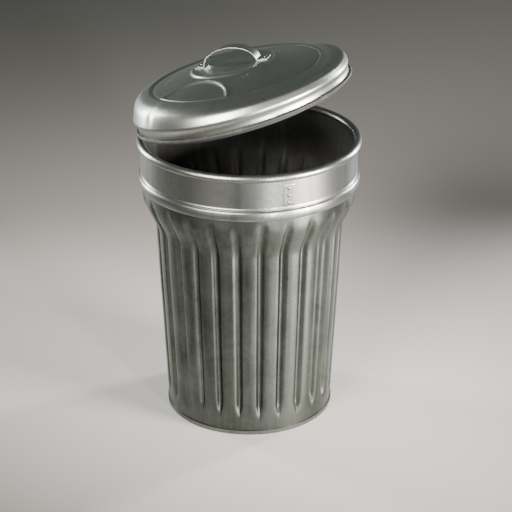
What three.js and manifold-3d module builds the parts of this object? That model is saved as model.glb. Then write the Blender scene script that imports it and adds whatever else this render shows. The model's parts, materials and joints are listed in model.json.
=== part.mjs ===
// A fluted galvanised-steel refuse can with a domed lid on a rear friction hinge.
// Millimetres, +Z up. The origin is on the can's axis at the floor, and the hinge is at the rear, +Y.
// The lid is drawn closed, then turned about the hinge pin to the angle at which it stands open.

import * as THREE from "three";
import { mergeVertices } from "three/addons/utils/BufferGeometryUtils.js";
import Module from "manifold-3d";

const wasm = await Module();
wasm.setup();

// ---- Driving dimensions ----
const canHeight = 610; // floor to the top of the rolled rim
const rimRadius = 225.2; // axis to the centre of the rolled rim
const rimRoll = 7.6; // radius of the rolled rim, to the middle of the sheet
const baseRadius = 175.6; // outside of the shell at the floor
const neckRadius = 197; // outside of the ribs where the flare starts
const neckHeight = 424;
const collarRadius = 223.4; // outside of the shell inside the rim band
const collarHeight = 500; // where the flare ends and the collar starts
const fluteCount = 26;
const fluteDepth = 8;
const ribAngle = THREE.MathUtils.degToRad(198); // one rib is centred here
const lapAngle = THREE.MathUtils.degToRad(218.5); // where the rim band's ends meet
const sheet = 0.6; // shell, lid and lid flange
const bandSheet = 0.8; // rim band, pan and lap strip
const leafSheet = 1.6; // hinge leaves
const gap = 0.3; // left between pieces that touch
const ringSteps = 2 * fluteCount; // facets round a spun piece

const pinY = 238.6;
const pinZ = canHeight + 2;
const pinRadius = 2.4;
const pinHole = 2.5;
const knuckleRadius = 4.4;
const knuckleSteps = 20;
const leafHalfWidth = 24;
const lidKnuckleHalf = 9;
const baseKnuckleStart = 10.2;
const restOpening = THREE.MathUtils.degToRad(17.2);

// ---- Finishes ----
const finishes = {
  shell: { color: "#8d938e", roughness: 0.38, metalness: 0.95 },
  band: { color: "#a3a8a5", roughness: 0.3, metalness: 0.95 },
  lid: { color: "#9ba19c", roughness: 0.26, metalness: 0.95 },
  bottom: { color: "#6f7470", roughness: 0.5, metalness: 0.9 },
  hinge: { color: "#7d807f", roughness: 0.42, metalness: 0.9 },
  wire: { color: "#84888a", roughness: 0.4, metalness: 0.9 },
  rubber: { color: "#161617", roughness: 0.85, metalness: 0 },
};

const can = new THREE.Group();
const lid = new THREE.Group();
lid.position.set(0, pinY, pinZ);
lid.rotation.x = -restOpening;
can.add(lid);

function addPiece(group, name, geometry, finish) {
  const piece = new THREE.Mesh(geometry, new THREE.MeshStandardMaterial(finish));
  piece.name = name;
  group.add(piece);
  return piece;
}

// ---- Helpers: profiles ----
// A profile is a list of [radius, height] points.

// The closed outline of a bent sheet whose middle follows the open path.
function sheetOutline(path, thickness) {
  const offsets = path.map((point, i) => {
    const before = path[Math.max(i - 1, 0)];
    const after = path[Math.min(i + 1, path.length - 1)];
    const along = new THREE.Vector2(after[0] - before[0], after[1] - before[1]).normalize();
    const halfSheet = thickness / 2;
    return [-along.y * halfSheet, along.x * halfSheet];
  });
  const left = path.map(([r, z], i) => [r + offsets[i][0], z + offsets[i][1]]);
  const right = path.map(([r, z], i) => [r - offsets[i][0], z - offsets[i][1]]);
  return [...right, ...left.reverse()];
}

// Points on an arc, from one angle to another in degrees.
function arc(centreR, centreZ, radius, from, to, steps) {
  return Array.from({ length: steps + 1 }, (_, i) => {
    const a = THREE.MathUtils.degToRad(from + ((to - from) * i) / steps);
    return [centreR + radius * Math.cos(a), centreZ + radius * Math.sin(a)];
  });
}

function circle(centreR, centreZ, radius, steps) {
  return arc(centreR, centreZ, radius, 0, 360 * (1 - 1 / steps), steps - 1);
}

function signedArea(outline) {
  const points = outline.map(([r, z]) => new THREE.Vector2(r, z));
  return THREE.ShapeUtils.area(points);
}

// ---- Helpers: solids ----

// A profile spun about Z. One that touches the axis starts and ends there; any other is closed.
function spun(outline, steps = ringSteps) {
  const turned = signedArea(outline) > 0 ? outline : [...outline].reverse();
  const points = turned.map(([r, z]) => new THREE.Vector2(r, z));
  const onAxis = Math.min(...turned.map(([r]) => r)) < 1e-6;
  if (!onAxis) points.push(points[0].clone());
  return new THREE.LatheGeometry(points, steps).rotateX(Math.PI / 2);
}

// A dished sheet whose middle starts on the axis: the outline starts and ends on the axis.
function spunDish(path, thickness) {
  const outline = sheetOutline(path, thickness).map(([r, z]) => [Math.max(r, 0), z]);
  return spun(outline);
}

// A [Y, Z] outline pushed along X between two planes.
function pushedAlongX(outline, fromX, toX) {
  const shape = new THREE.Shape(outline.map(([y, z]) => new THREE.Vector2(y, z)));
  const solid = new THREE.ExtrudeGeometry(shape, { depth: toX - fromX, bevelEnabled: false });
  // The extrusion's own axes (x, y, z) become the part's (Y, Z, X).
  const turn = new THREE.Matrix4().makeBasis(
    new THREE.Vector3(0, 1, 0),
    new THREE.Vector3(0, 0, 1),
    new THREE.Vector3(1, 0, 0),
  );
  return solid.applyMatrix4(turn).translate(fromX, 0, 0);
}

// A cylinder along X between two planes.
function rodAlongX(radius, fromX, toX, y, z) {
  const rod = new THREE.CylinderGeometry(radius, radius, toX - fromX, knuckleSteps);
  return rod.rotateZ(Math.PI / 2).translate((fromX + toX) / 2, y, z);
}

// ---- Helpers: booleans ----
function toManifold(geometry) {
  const bare = geometry.clone();
  bare.deleteAttribute("normal");
  bare.deleteAttribute("uv");
  const merged = mergeVertices(bare, 1e-4);
  const mesh = new wasm.Mesh({
    numProp: 3,
    vertProperties: new Float32Array(merged.attributes.position.array),
    triVerts: new Uint32Array(merged.index.array),
  });
  return new wasm.Manifold(mesh);
}

function toGeometry(solid) {
  const mesh = solid.getMesh();
  const geometry = new THREE.BufferGeometry();
  geometry.setAttribute("position", new THREE.BufferAttribute(mesh.vertProperties, 3));
  geometry.setIndex(new THREE.BufferAttribute(mesh.triVerts, 1));
  geometry.computeVertexNormals();
  return geometry;
}

function joined(...geometries) {
  return toGeometry(geometries.map(toManifold).reduce((a, b) => a.add(b)));
}

function cut(geometry, ...tools) {
  return toGeometry(tools.map(toManifold).reduce((a, b) => a.subtract(b), toManifold(geometry)));
}

// ---- Rivets ----
// A rivet's own +Z points out of its head; its origin is on the outer face that the head bears on.
const rivetShank = 2;
const rivetHead = 3.8;
const rivetRise = 2;
const rivetTail = 3;
const rivetSteps = 8;

function rivetSolid(grip) {
  const tailTop = -grip - gap;
  const outline = [
    [0, tailTop - 1.4],
    [rivetTail, tailTop - 1.4],
    [rivetTail, tailTop],
    [rivetShank, tailTop],
    [rivetShank, gap],
    [rivetHead, gap],
    [rivetHead * 0.72, gap + rivetRise * 0.75],
    [0, gap + rivetRise],
  ];
  return spun(outline, rivetSteps);
}

function rivetHole() {
  const reach = 30;
  return new THREE.CylinderGeometry(rivetShank + gap, rivetShank + gap, reach, rivetSteps).rotateX(Math.PI / 2);
}

// The matrix that carries a rivet from its own frame to a place and an outward direction.
function rivetPlace(position, outward) {
  const turn = new THREE.Quaternion().setFromUnitVectors(new THREE.Vector3(0, 0, 1), outward);
  return new THREE.Matrix4().compose(position, turn, new THREE.Vector3(1, 1, 1));
}

const rearward = new THREE.Vector3(0, 1, 0);
const upward = new THREE.Vector3(0, 0, 1);

// ---- The fluted shell ----
// Each station is a height, the radius over the ribs, and how deep the grooves are there.
const shellFoot = 3;
const shellStations = [
  [shellFoot, baseRadius, 0],
  [34, baseRadius + 1.5, 0],
  [62, baseRadius + 2.9, fluteDepth - 1],
  [neckHeight - 16, neckRadius - 2.2, fluteDepth],
  [neckHeight, neckRadius, fluteDepth + 0.5],
  [neckHeight + 26, neckRadius + 14, fluteDepth + 0.5],
  [neckHeight + 50, collarRadius - 3.4, fluteDepth - 2],
  [collarHeight, collarRadius, 0],
  [canHeight - 22, collarRadius, 0],
];
// Across one flute, in parts of its pitch from the middle of the rib: place and share of the depth.
const fluteSection = [
  [-0.4, 1],
  [-0.29, 0.1],
  [-0.17, 0],
  [0.17, 0],
  [0.29, 0.1],
  [0.4, 1],
];

function flutedShell() {
  const pitch = (2 * Math.PI) / fluteCount;
  const positions = [];
  for (let flute = 0; flute < fluteCount; flute++) {
    for (const [place, share] of fluteSection) {
      const angle = ribAngle + (flute + place) * pitch;
      const outside = shellStations.map(([z, radius, depth]) => [radius - depth * share, z]);
      const inside = outside.map(([r, z]) => [r - sheet, z]).reverse();
      for (const [r, z] of [...outside, ...inside]) {
        positions.push(r * Math.cos(angle), r * Math.sin(angle), z);
      }
    }
  }
  const columns = fluteCount * fluteSection.length;
  const rows = 2 * shellStations.length;
  const faces = [];
  for (let column = 0; column < columns; column++) {
    const next = (column + 1) % columns;
    for (let row = 0; row < rows; row++) {
      const above = (row + 1) % rows;
      const a = column * rows + row;
      const b = next * rows + row;
      const c = next * rows + above;
      const d = column * rows + above;
      faces.push(a, b, c, a, c, d);
    }
  }
  const shell = new THREE.BufferGeometry();
  shell.setAttribute("position", new THREE.Float32BufferAttribute(positions, 3));
  shell.setIndex(faces);
  shell.computeVertexNormals();
  return shell;
}

// ---- The rim band ----
const bandFoot = 511;
const bandWaist = collarRadius + 1.3; // middle of the band's sheet
const bandPath = [
  [bandWaist, bandFoot],
  [bandWaist + 4.2, bandFoot + 3],
  [bandWaist + 5.4, bandFoot + 11],
  [bandWaist + 4.2, bandFoot + 19],
  [bandWaist, bandFoot + 24],
  ...arc(rimRadius, canHeight - rimRoll - bandSheet / 2, rimRoll, -94, 231, 7),
];
const rimBand = spun(sheetOutline(bandPath, bandSheet));

const lapBottom = 541;
const lapTop = 586;
const lapHalfAngle = 0.05;
const lapInner = bandWaist + bandSheet / 2 + gap;
function lapStrip() {
  const shape = new THREE.Shape();
  shape.absarc(0, 0, lapInner + bandSheet, lapAngle - lapHalfAngle, lapAngle + lapHalfAngle, false);
  shape.absarc(0, 0, lapInner, lapAngle + lapHalfAngle, lapAngle - lapHalfAngle, true);
  const extrusion = { depth: lapTop - lapBottom, bevelEnabled: false, curveSegments: 4 };
  return new THREE.ExtrudeGeometry(shape, extrusion).translate(0, 0, lapBottom);
}

const lapOutward = new THREE.Vector3(Math.cos(lapAngle), Math.sin(lapAngle), 0);
const lapFace = lapInner + bandSheet;
const lapGrip = lapFace - (collarRadius - sheet - 0.4);
const lapRivetPlaces = [548, 563, 578].map((z) => {
  const position = lapOutward.clone().multiplyScalar(lapFace).setZ(z);
  return rivetPlace(position, lapOutward);
});

// ---- The hinge leaf on the can ----
const baseLeafFace = bandWaist + bandSheet / 2 + 1;
const beadOutside = rimRadius + rimRoll + bandSheet / 2;
const baseLeafPath = [
  [baseLeafFace + leafSheet / 2, 548],
  [baseLeafFace + leafSheet / 2, 581],
  [beadOutside + 1 + leafSheet / 2, 591],
];
const baseLeafPlateTop = pinZ - knuckleRadius - 3.6;
const baseLeafPlate = sheetOutline(
  [...baseLeafPath, [beadOutside + 1 + leafSheet / 2, baseLeafPlateTop]],
  leafSheet,
);
const baseKnuckleNeck = sheetOutline(
  [
    [beadOutside + 1 + leafSheet / 2, baseLeafPlateTop - 2],
    [beadOutside + 1 + leafSheet / 2, pinZ],
  ],
  leafSheet,
);
const baseRivetZ = 562;
const baseRivetX = 14;
const baseLeafGrip = baseLeafFace + leafSheet - (collarRadius - sheet - 1.1);

function knuckles(...spans) {
  return spans.map(([from, to]) => rodAlongX(knuckleRadius, from, to, pinY, pinZ));
}

const pinBore = rodAlongX(pinHole, -leafHalfWidth - 1, leafHalfWidth + 1, pinY, pinZ);
const baseRivetPlaces = [-baseRivetX, baseRivetX].map((x) => {
  const position = new THREE.Vector3(x, baseLeafFace + leafSheet, baseRivetZ);
  return rivetPlace(position, rearward);
});

function placedHole(place) {
  return rivetHole().applyMatrix4(place);
}

function hingeBaseLeaf() {
  const spans = [
    [-leafHalfWidth, -baseKnuckleStart],
    [baseKnuckleStart, leafHalfWidth],
  ];
  const solid = joined(
    pushedAlongX(baseLeafPlate, -leafHalfWidth, leafHalfWidth),
    ...spans.map(([from, to]) => pushedAlongX(baseKnuckleNeck, from, to)),
    ...knuckles(...spans),
  );
  return cut(solid, pinBore, ...baseRivetPlaces.map(placedHole));
}

// ---- The can's own pieces ----
const canHoles = [...lapRivetPlaces, ...baseRivetPlaces].map(placedHole);
addPiece(can, "body_shell", cut(flutedShell(), ...canHoles), finishes.shell);
addPiece(can, "rim_band", cut(rimBand, ...canHoles), finishes.band);

const wireRadius = 3.2;
const rimWire = spun(circle(rimRadius, canHeight - rimRoll - bandSheet / 2, wireRadius, 6));
addPiece(can, "rim_wire", rimWire, finishes.wire);

const lapHoles = lapRivetPlaces.map(placedHole);
addPiece(can, "band_lap_strip", cut(lapStrip(), ...lapHoles), finishes.band);
lapRivetPlaces.forEach((place, i) => {
  addPiece(can, `band_lap_rivet_${i + 1}`, rivetSolid(lapGrip).applyMatrix4(place), finishes.hinge);
});

const flangeOutside = baseRadius - sheet - 0.5;
const panPath = [
  [0, 19],
  [118, 19],
  [130, 14],
  [flangeOutside - 4, 14],
  [flangeOutside - 1, 12.6],
  [flangeOutside - bandSheet / 2, 9],
  [flangeOutside - bandSheet / 2, 2.4],
];
addPiece(can, "bottom_pan", spunDish(panPath, bandSheet), finishes.bottom);

// The hoop is a channel folded round the foot of the shell and the pan's flange.
const hoopWall = 1.4;
const hoopHeight = 9;
const hoopRoom = 1; // between the hoop and the shell, which widens upwards
const hoopOutside = baseRadius + hoopRoom + hoopWall;
const hoopInside = flangeOutside - bandSheet - gap - hoopWall;
const hoopOutline = [
  [hoopInside, 0],
  [hoopOutside, 0],
  [hoopOutside, hoopHeight],
  [hoopOutside - hoopWall, hoopHeight],
  [hoopOutside - hoopWall, hoopWall],
  [hoopInside + hoopWall, hoopWall],
  [hoopInside + hoopWall, hoopHeight],
  [hoopInside, hoopHeight],
];
addPiece(can, "base_hoop", spun(hoopOutline), finishes.bottom);

addPiece(can, "hinge_base_leaf", hingeBaseLeaf(), finishes.hinge);
baseRivetPlaces.forEach((place, i) => {
  addPiece(can, `hinge_base_rivet_${i + 1}`, rivetSolid(baseLeafGrip).applyMatrix4(place), finishes.hinge);
});
const pinReach = leafHalfWidth + 1.5;
addPiece(can, "hinge_pin", rodAlongX(pinRadius, -pinReach, pinReach, pinY, pinZ), finishes.wire);

const washerThickness = 0.6;
const washerMiddle = (lidKnuckleHalf + baseKnuckleStart) / 2;
[-washerMiddle, washerMiddle].forEach((x, i) => {
  const halfWasher = washerThickness / 2;
  const disc = rodAlongX(knuckleRadius - 0.2, x - halfWasher, x + halfWasher, pinY, pinZ);
  addPiece(can, `hinge_washer_${i + 1}`, cut(disc, pinBore), finishes.rubber);
});

// ---- The lid's shell ----
// Heights from here on are those of the closed lid.
const lidRollRadius = 3.2;
const lidRollCentre = 226.6;
const lidRollZ = canHeight + 0.5 + lidRollRadius + sheet / 2;
const skirtRadius = lidRollCentre - lidRollRadius;
const shoulderRadius = 228;
const discRadius = 84; // the flat raised disc that carries the handle
const discZ = canHeight + 86;
const lidPath = [
  [0, discZ],
  [discRadius, discZ],
  [discRadius + 5, discZ - 4.5],
  [172, discZ - 23],
  [179, discZ - 21],
  [192, canHeight + 60.5],
  [207, canHeight + 54],
  [219, canHeight + 45.5],
  [226, canHeight + 37],
  [shoulderRadius, canHeight + 30],
  [shoulderRadius - 1, canHeight + 25],
  [skirtRadius, canHeight + 20],
  ...arc(lidRollCentre, lidRollZ, lidRollRadius, 180, 440, 5),
];

// The crown leans: it stands a little lower at the front than at the rear, above a true skirt.
const crownLean = 0.07; // rise over run
const leanFoot = canHeight + 40;
const leanFull = canHeight + 60;
const crownTilt = new THREE.Matrix4()
  .makeTranslation(0, 0, discZ)
  .multiply(new THREE.Matrix4().makeRotationX(Math.atan(crownLean)))
  .multiply(new THREE.Matrix4().makeTranslation(0, 0, -discZ));

function leaned(geometry) {
  const points = geometry.getAttribute("position");
  for (let i = 0; i < points.count; i += 1) {
    const share = THREE.MathUtils.smoothstep(points.getZ(i), leanFoot, leanFull);
    points.setZ(i, points.getZ(i) + crownLean * points.getY(i) * share);
  }
  return geometry;
}

const handleRivetY = 70;
const handleRivetX = 7;
const handleThickness = 2;
const handleFoot = discZ + sheet / 2 + gap;
const handleRivetPlaces = [];
for (const y of [-handleRivetY, handleRivetY]) {
  for (const x of [-handleRivetX, handleRivetX]) {
    const position = new THREE.Vector3(x, y, handleFoot + handleThickness);
    handleRivetPlaces.push(rivetPlace(position, upward).premultiply(crownTilt));
  }
}

const lidLeafFace = shoulderRadius + sheet / 2 + 0.7;
const lidRivetZ = canHeight + 31;
const lidRivetX = 14;
const lidLeafGrip = lidLeafFace + leafSheet - (shoulderRadius - 3.2);
const lidRivetPlaces = [-lidRivetX, lidRivetX].map((x) => {
  const position = new THREE.Vector3(x, lidLeafFace + leafSheet, lidRivetZ);
  return rivetPlace(position, rearward);
});

// The lid group's origin is the pin, so what is drawn round the can's origin is moved back by it.
function aboutPin(geometry) {
  return geometry.translate(0, -pinY, -pinZ);
}

function addLidPiece(name, geometry, finish) {
  return addPiece(lid, name, aboutPin(geometry), finish);
}

const lidHoles = [...handleRivetPlaces, ...lidRivetPlaces].map(placedHole);
addLidPiece("lid_shell", cut(leaned(spunDish(lidPath, sheet)), ...lidHoles), finishes.lid);
const lidWire = spun(circle(lidRollCentre, lidRollZ, 1.9, 6));
addLidPiece("lid_edge_wire", lidWire, finishes.wire);

// ---- The lid's locating flange and its rubber seal ----
const lipRadius = 212.5; // middle of the flange where it stands in the mouth
const lipFoot = canHeight - 5;
const flangePath = [
  [skirtRadius - 1.2, canHeight + 17],
  [skirtRadius - 1.2, canHeight + 9],
  [lipRadius + 1, canHeight + 5],
  [lipRadius, canHeight + 2],
  [lipRadius, lipFoot],
];
addLidPiece("lid_flange", spun(sheetOutline(flangePath, sheet)), finishes.bottom);

const sealWall = 1.6;
const sealGrip = 6; // how far it reaches up the flange
const sealRoom = sheet / 2 + gap;
const sealOutline = [
  [lipRadius - sealRoom - sealWall, lipFoot - gap - sealWall],
  [lipRadius + sealRoom + sealWall, lipFoot - gap - sealWall],
  [lipRadius + sealRoom + sealWall, lipFoot + sealGrip],
  [lipRadius + sealRoom, lipFoot + sealGrip],
  [lipRadius + sealRoom, lipFoot - gap],
  [lipRadius - sealRoom, lipFoot - gap],
  [lipRadius - sealRoom, lipFoot + sealGrip],
  [lipRadius - sealRoom - sealWall, lipFoot + sealGrip],
];
addLidPiece("lid_seal", spun(sealOutline), finishes.rubber);

// ---- The strap handle ----
const handleWidth = 28;
const handleSpan = 57; // half the arch, at its feet
const handleRise = 33;
const handleMiddle = handleFoot + handleThickness / 2;
const handlePath = [
  [-handleRivetY - 10, handleMiddle],
  [-handleSpan - 3, handleMiddle],
  ...arc(0, 0, 1, 174, 6, 10).map(([c, s]) => [c * handleSpan, handleMiddle + s * handleRise]),
  [handleSpan + 3, handleMiddle],
  [handleRivetY + 10, handleMiddle],
];
const handleBlank = pushedAlongX(
  sheetOutline(handlePath, handleThickness),
  -handleWidth / 2,
  handleWidth / 2,
).applyMatrix4(crownTilt);
addLidPiece("lid_handle", cut(handleBlank, ...handleRivetPlaces.map(placedHole)), finishes.lid);
const handleGrip = handleThickness + gap + sheet;
handleRivetPlaces.forEach((place, i) => {
  addLidPiece(`handle_rivet_${i + 1}`, rivetSolid(handleGrip).applyMatrix4(place), finishes.hinge);
});

// ---- The hinge leaf on the lid ----
const lidLeafMiddle = lidLeafFace + leafSheet / 2;
const lidLeafPlate = sheetOutline(
  [
    [lidLeafMiddle, canHeight + 22],
    [lidLeafMiddle, canHeight + 40],
  ],
  leafSheet,
);
const lidLeafNeck = sheetOutline(
  [
    [pinY - 3.4, pinZ + 1],
    [pinY - 5, pinZ + 8],
    [lidLeafMiddle, canHeight + 16],
    [lidLeafMiddle, canHeight + 24],
  ],
  leafSheet,
);
const lidKnuckleSpan = [-lidKnuckleHalf, lidKnuckleHalf];
const lidLeafSolid = joined(
  pushedAlongX(lidLeafPlate, -leafHalfWidth, leafHalfWidth),
  pushedAlongX(lidLeafNeck, ...lidKnuckleSpan),
  ...knuckles(lidKnuckleSpan),
);
const lidLeaf = cut(lidLeafSolid, pinBore, ...lidRivetPlaces.map(placedHole));
addLidPiece("hinge_lid_leaf", lidLeaf, finishes.hinge);
lidRivetPlaces.forEach((place, i) => {
  addLidPiece(`hinge_lid_rivet_${i + 1}`, rivetSolid(lidLeafGrip).applyMatrix4(place), finishes.hinge);
});

export default can;
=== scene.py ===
# %% [markdown]
# # A galvanised refuse can with a domed, hinged lid
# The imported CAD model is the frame: it fixes every size, place and joint. This lesson builds the
# looks round it. Sheet-metal pieces are made again with fine, slightly uneven surfaces, because
# a mirror-like metal shows every facet, and each piece rides on the CAD body that carries it.

# %% Load the frame
import json
import math

import bmesh
import bpy
from mathutils import Matrix, Vector, noise


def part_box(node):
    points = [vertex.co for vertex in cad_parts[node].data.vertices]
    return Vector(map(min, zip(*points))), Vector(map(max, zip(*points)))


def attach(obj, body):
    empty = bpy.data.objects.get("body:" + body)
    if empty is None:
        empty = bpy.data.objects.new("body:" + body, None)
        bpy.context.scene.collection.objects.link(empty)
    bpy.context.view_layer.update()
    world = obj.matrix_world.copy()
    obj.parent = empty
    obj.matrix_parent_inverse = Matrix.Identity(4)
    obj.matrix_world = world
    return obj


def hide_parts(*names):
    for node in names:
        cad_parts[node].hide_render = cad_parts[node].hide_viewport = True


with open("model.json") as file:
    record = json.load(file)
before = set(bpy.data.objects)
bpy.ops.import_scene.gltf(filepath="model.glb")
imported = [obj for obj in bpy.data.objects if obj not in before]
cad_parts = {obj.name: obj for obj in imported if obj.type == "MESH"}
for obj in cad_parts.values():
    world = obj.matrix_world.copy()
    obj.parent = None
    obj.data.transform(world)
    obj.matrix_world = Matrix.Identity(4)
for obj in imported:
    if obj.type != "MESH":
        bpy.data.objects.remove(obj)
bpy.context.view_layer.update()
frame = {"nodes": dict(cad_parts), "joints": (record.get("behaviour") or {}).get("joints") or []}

# %% [markdown]
# ## Sizes
# Lengths are in metres, as everywhere in Blender, so `MM` turns millimetres into them. The main
# radii and heights are read from the boxes of the CAD nodes; the rest hang on those.

# %% Main sizes, from the frame
MM = 0.001
shell_low, shell_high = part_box("body_shell")
band_low, band_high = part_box("rim_band")
hoop_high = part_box("base_hoop")[1]
lid_hinge = frame["joints"][0]
pin = Vector(lid_hinge["pos_m"])
rest_opening = -math.radians(lid_hinge["range_deg"][0])

can_height = band_high.z
shell_foot = shell_low.z
shell_top = shell_high.z
collar_radius = 223.4 * MM
neck_radius = 196.2 * MM
hoop_radius = hoop_high.x
base_radius = hoop_radius - 2.4 * MM
sheet = 0.6 * MM
band_sheet = 0.8 * MM
leaf_sheet = 1.6 * MM
gap = 0.3 * MM  # left between pieces that touch
flute_count = 26
rib_angle = math.radians(198)
lap_angle = math.radians(218.5)
print("height", round(can_height, 4), "lid stands open", round(math.degrees(rest_opening), 1))

# %% [markdown]
# ## Small helpers
# One function adds any node with its settings and links. Another turns the sRGB hex colours that
# people write down into the linear values that a shader needs.

# %% Colour and node helpers
def colour(hex_code):
    """The linear colour of an sRGB hex code."""
    channels = [int(hex_code[i : i + 2], 16) / 255 for i in (1, 3, 5)]
    linear = [c / 12.92 if c <= 0.04045 else ((c + 0.055) / 1.055) ** 2.4 for c in channels]
    return (*linear, 1.0)


def add_node(tree, kind, settings=None, inputs=None):
    """Adds a node and gives its outputs. An input's value is a number, a colour or an output."""
    node = tree.nodes.new(kind)
    for name, value in (settings or {}).items():
        setattr(node, name, value)
    for name, value in (inputs or {}).items():
        if isinstance(value, bpy.types.NodeSocket):
            tree.links.new(value, node.inputs[name])
        else:
            node.inputs[name].default_value = value
    return node.outputs


print("mid grey is", [round(c, 3) for c in colour("#808080")[:3]])

# %% [markdown]
# ## Galvanised sheet steel
# The can's sheet is steel dipped in molten zinc. The zinc freezes in flat crystals some 6 to
# 15 mm across, the spangle, and each one reflects a little differently. Weather dulls it to a
# grey patina in soft blotches, and rain leaves streaks down the wall. Dark specks of dirt
# gather in patches, thickest in a few stains, with rust in their pits, and the lowest part of
# the wall is made darker. A Voronoi pattern gives the crystals, stretched noise gives the
# streaks, other noises give the rest, and each kind of dirt, and the darker foot, is a mask
# that lays one colour over the metal. The sheet was rolled upwards, so on the wall the shader's
# anisotropy draws highlights out along it. All the patterns read Object coordinates, so every
# size below is a real one.

# %% The zinc's own pattern
def zinc_pattern(tree, place, upright, spangle, streak):
    """The zinc's tone, from 0 for dark to 1 for light, and the patterns that add up to it."""
    # Each crystal has a tone of its own.
    crystals = {"Vector": place, "Scale": 1000 / spangle, "Randomness": 1.0}
    crystal_colour = add_node(tree, "ShaderNodeTexVoronoi", {"feature": "F1"}, crystals)["Color"]
    crystal = add_node(tree, "ShaderNodeSeparateColor", {}, {"Color": crystal_colour})[0]

    streaks = add_node(
        tree, "ShaderNodeTexNoise", {}, {"Vector": upright, "Scale": 1.0, "Detail": 4.0, "Roughness": 0.6}
    )["Fac"]

    # Blotches of patina are about 80 mm across, with ragged edges.
    blotches = add_node(
        tree,
        "ShaderNodeTexNoise",
        {},
        {"Vector": place, "Scale": 12.0, "Detail": 7.0, "Roughness": 0.6, "Distortion": 0.3},
    )["Fac"]

    # The three are added up and spread between the dark tone and the light one.
    tone = add_node(
        tree, "ShaderNodeMath", {"operation": "MULTIPLY_ADD"}, {0: streaks, 1: streak, 2: blotches}
    )[0]
    tone = add_node(
        tree, "ShaderNodeMath", {"operation": "MULTIPLY_ADD"}, {0: crystal, 1: 0.1, 2: tone}
    )[0]
    middle = 0.5 * streak + 0.55
    tone = add_node(
        tree, "ShaderNodeMapRange", {}, {0: tone, 1: middle - 0.32, 2: middle + 0.32, 3: 0.0, 4: 1.0}
    )[0]
    return tone, crystal, streaks, blotches


# %% Where the dirt lies
stain_squeeze = 0.33  # a stain reaches three times as far up the wall as across it


def dirt_masks(tree, place, grime, stains):
    """How much of each spot is dirty: the patches, the specks' pattern, and the specks in them."""
    patches = add_node(
        tree, "ShaderNodeTexNoise", {}, {"Vector": place, "Scale": 8.0, "Detail": 3.0}
    )["Fac"]
    patch_mask = add_node(
        tree, "ShaderNodeMapRange", {}, {0: patches, 1: 0.48, 2: 0.64, 3: 0.05, 4: grime}
    )[0]

    # Squeezed space makes a tall stain round, so that one distance describes it.
    squeezed = add_node(
        tree, "ShaderNodeMapping", {}, {"Vector": place, "Scale": (1.0, 1.0, stain_squeeze)}
    )[0]
    for (x, y, z), reach in stains:
        middle = (x, y, stain_squeeze * z)
        away = add_node(
            tree, "ShaderNodeVectorMath", {"operation": "DISTANCE"}, {0: squeezed, 1: middle}
        )["Value"]
        near = add_node(
            tree, "ShaderNodeMapRange", {}, {0: away, 1: reach, 2: 0.4 * reach, 3: 0.0, 4: 0.9}
        )[0]
        patch_mask = add_node(
            tree, "ShaderNodeMath", {"operation": "MAXIMUM"}, {0: patch_mask, 1: near}
        )[0]

    # The specks are 1 to 3 mm across.
    specks = add_node(
        tree, "ShaderNodeTexNoise", {}, {"Vector": place, "Scale": 380.0, "Detail": 3.0, "Roughness": 0.7}
    )["Fac"]
    speck_mask = add_node(
        tree, "ShaderNodeMapRange", {}, {0: specks, 1: 0.54, 2: 0.62, 3: 0.0, 4: 1.0}
    )[0]
    dirt = add_node(tree, "ShaderNodeMath", {"operation": "MULTIPLY"}, {0: speck_mask, 1: patch_mask})[0]
    return patch_mask, specks, dirt


print("a stain is", round(1 / stain_squeeze), "times as tall as it is wide")

# %% What weather and use leave on the zinc
def weathered(tree, place, upright, clean, blotches, masks, grime, rust):
    """The clean colour with dirt, film, a darker foot and rust laid over it, in that order."""
    patch_mask, _, dirt = masks
    # A Mix node's colour sockets share their names with its other sockets, so they go by number.
    surface = add_node(
        tree, "ShaderNodeMix", {"data_type": "RGBA"}, {0: dirt, 6: clean, 7: colour("#24241d")}
    )[2]

    # A thin green-grey film of algae and dust lies in a few places.
    film = add_node(
        tree, "ShaderNodeTexNoise", {}, {"Vector": upright, "Scale": 0.35, "Detail": 5.0}
    )["Fac"]
    film_mask = add_node(
        tree, "ShaderNodeMapRange", {}, {0: film, 1: 0.55, 2: 0.72, 3: 0.0, 4: 0.7 * grime}
    )[0]
    surface = add_node(
        tree, "ShaderNodeMix", {"data_type": "RGBA"}, {0: film_mask, 6: surface, 7: colour("#4c574b")}
    )[2]

    # The lowest hand's breadth of the wall, and anything lower, is made darker, with a ragged top edge.
    level = add_node(tree, "ShaderNodeSeparateXYZ", {}, {0: place})["Z"]
    ragged = add_node(
        tree, "ShaderNodeMath", {"operation": "MULTIPLY_ADD"}, {0: blotches, 1: -0.12, 2: level}
    )[0]
    foot_darkening = add_node(
        tree, "ShaderNodeMapRange", {}, {0: ragged, 1: -0.06, 2: 0.05, 3: 0.6 * grime, 4: 0.0}
    )[0]
    surface = add_node(
        tree, "ShaderNodeMix", {"data_type": "RGBA"}, {0: foot_darkening, 6: surface, 7: colour("#3d413b")}
    )[2]
    if not rust:
        return surface

    # Rust starts in pits a few millimetres wide, where the patches of dirt hold water.
    pits = add_node(
        tree, "ShaderNodeTexNoise", {}, {"Vector": place, "Scale": 150.0, "Detail": 5.0, "Roughness": 0.8}
    )["Fac"]
    pit_mask = add_node(tree, "ShaderNodeMapRange", {}, {0: pits, 1: 0.6, 2: 0.7, 3: 0.0, 4: rust})[0]
    rust_mask = add_node(
        tree, "ShaderNodeMath", {"operation": "MULTIPLY"}, {0: pit_mask, 1: patch_mask}
    )[0]
    return add_node(
        tree, "ShaderNodeMix", {"data_type": "RGBA"}, {0: rust_mask, 6: surface, 7: colour("#4a3322")}
    )[2]


print("laid over the zinc: dirt, film, a_darker_foot and rust")

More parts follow.
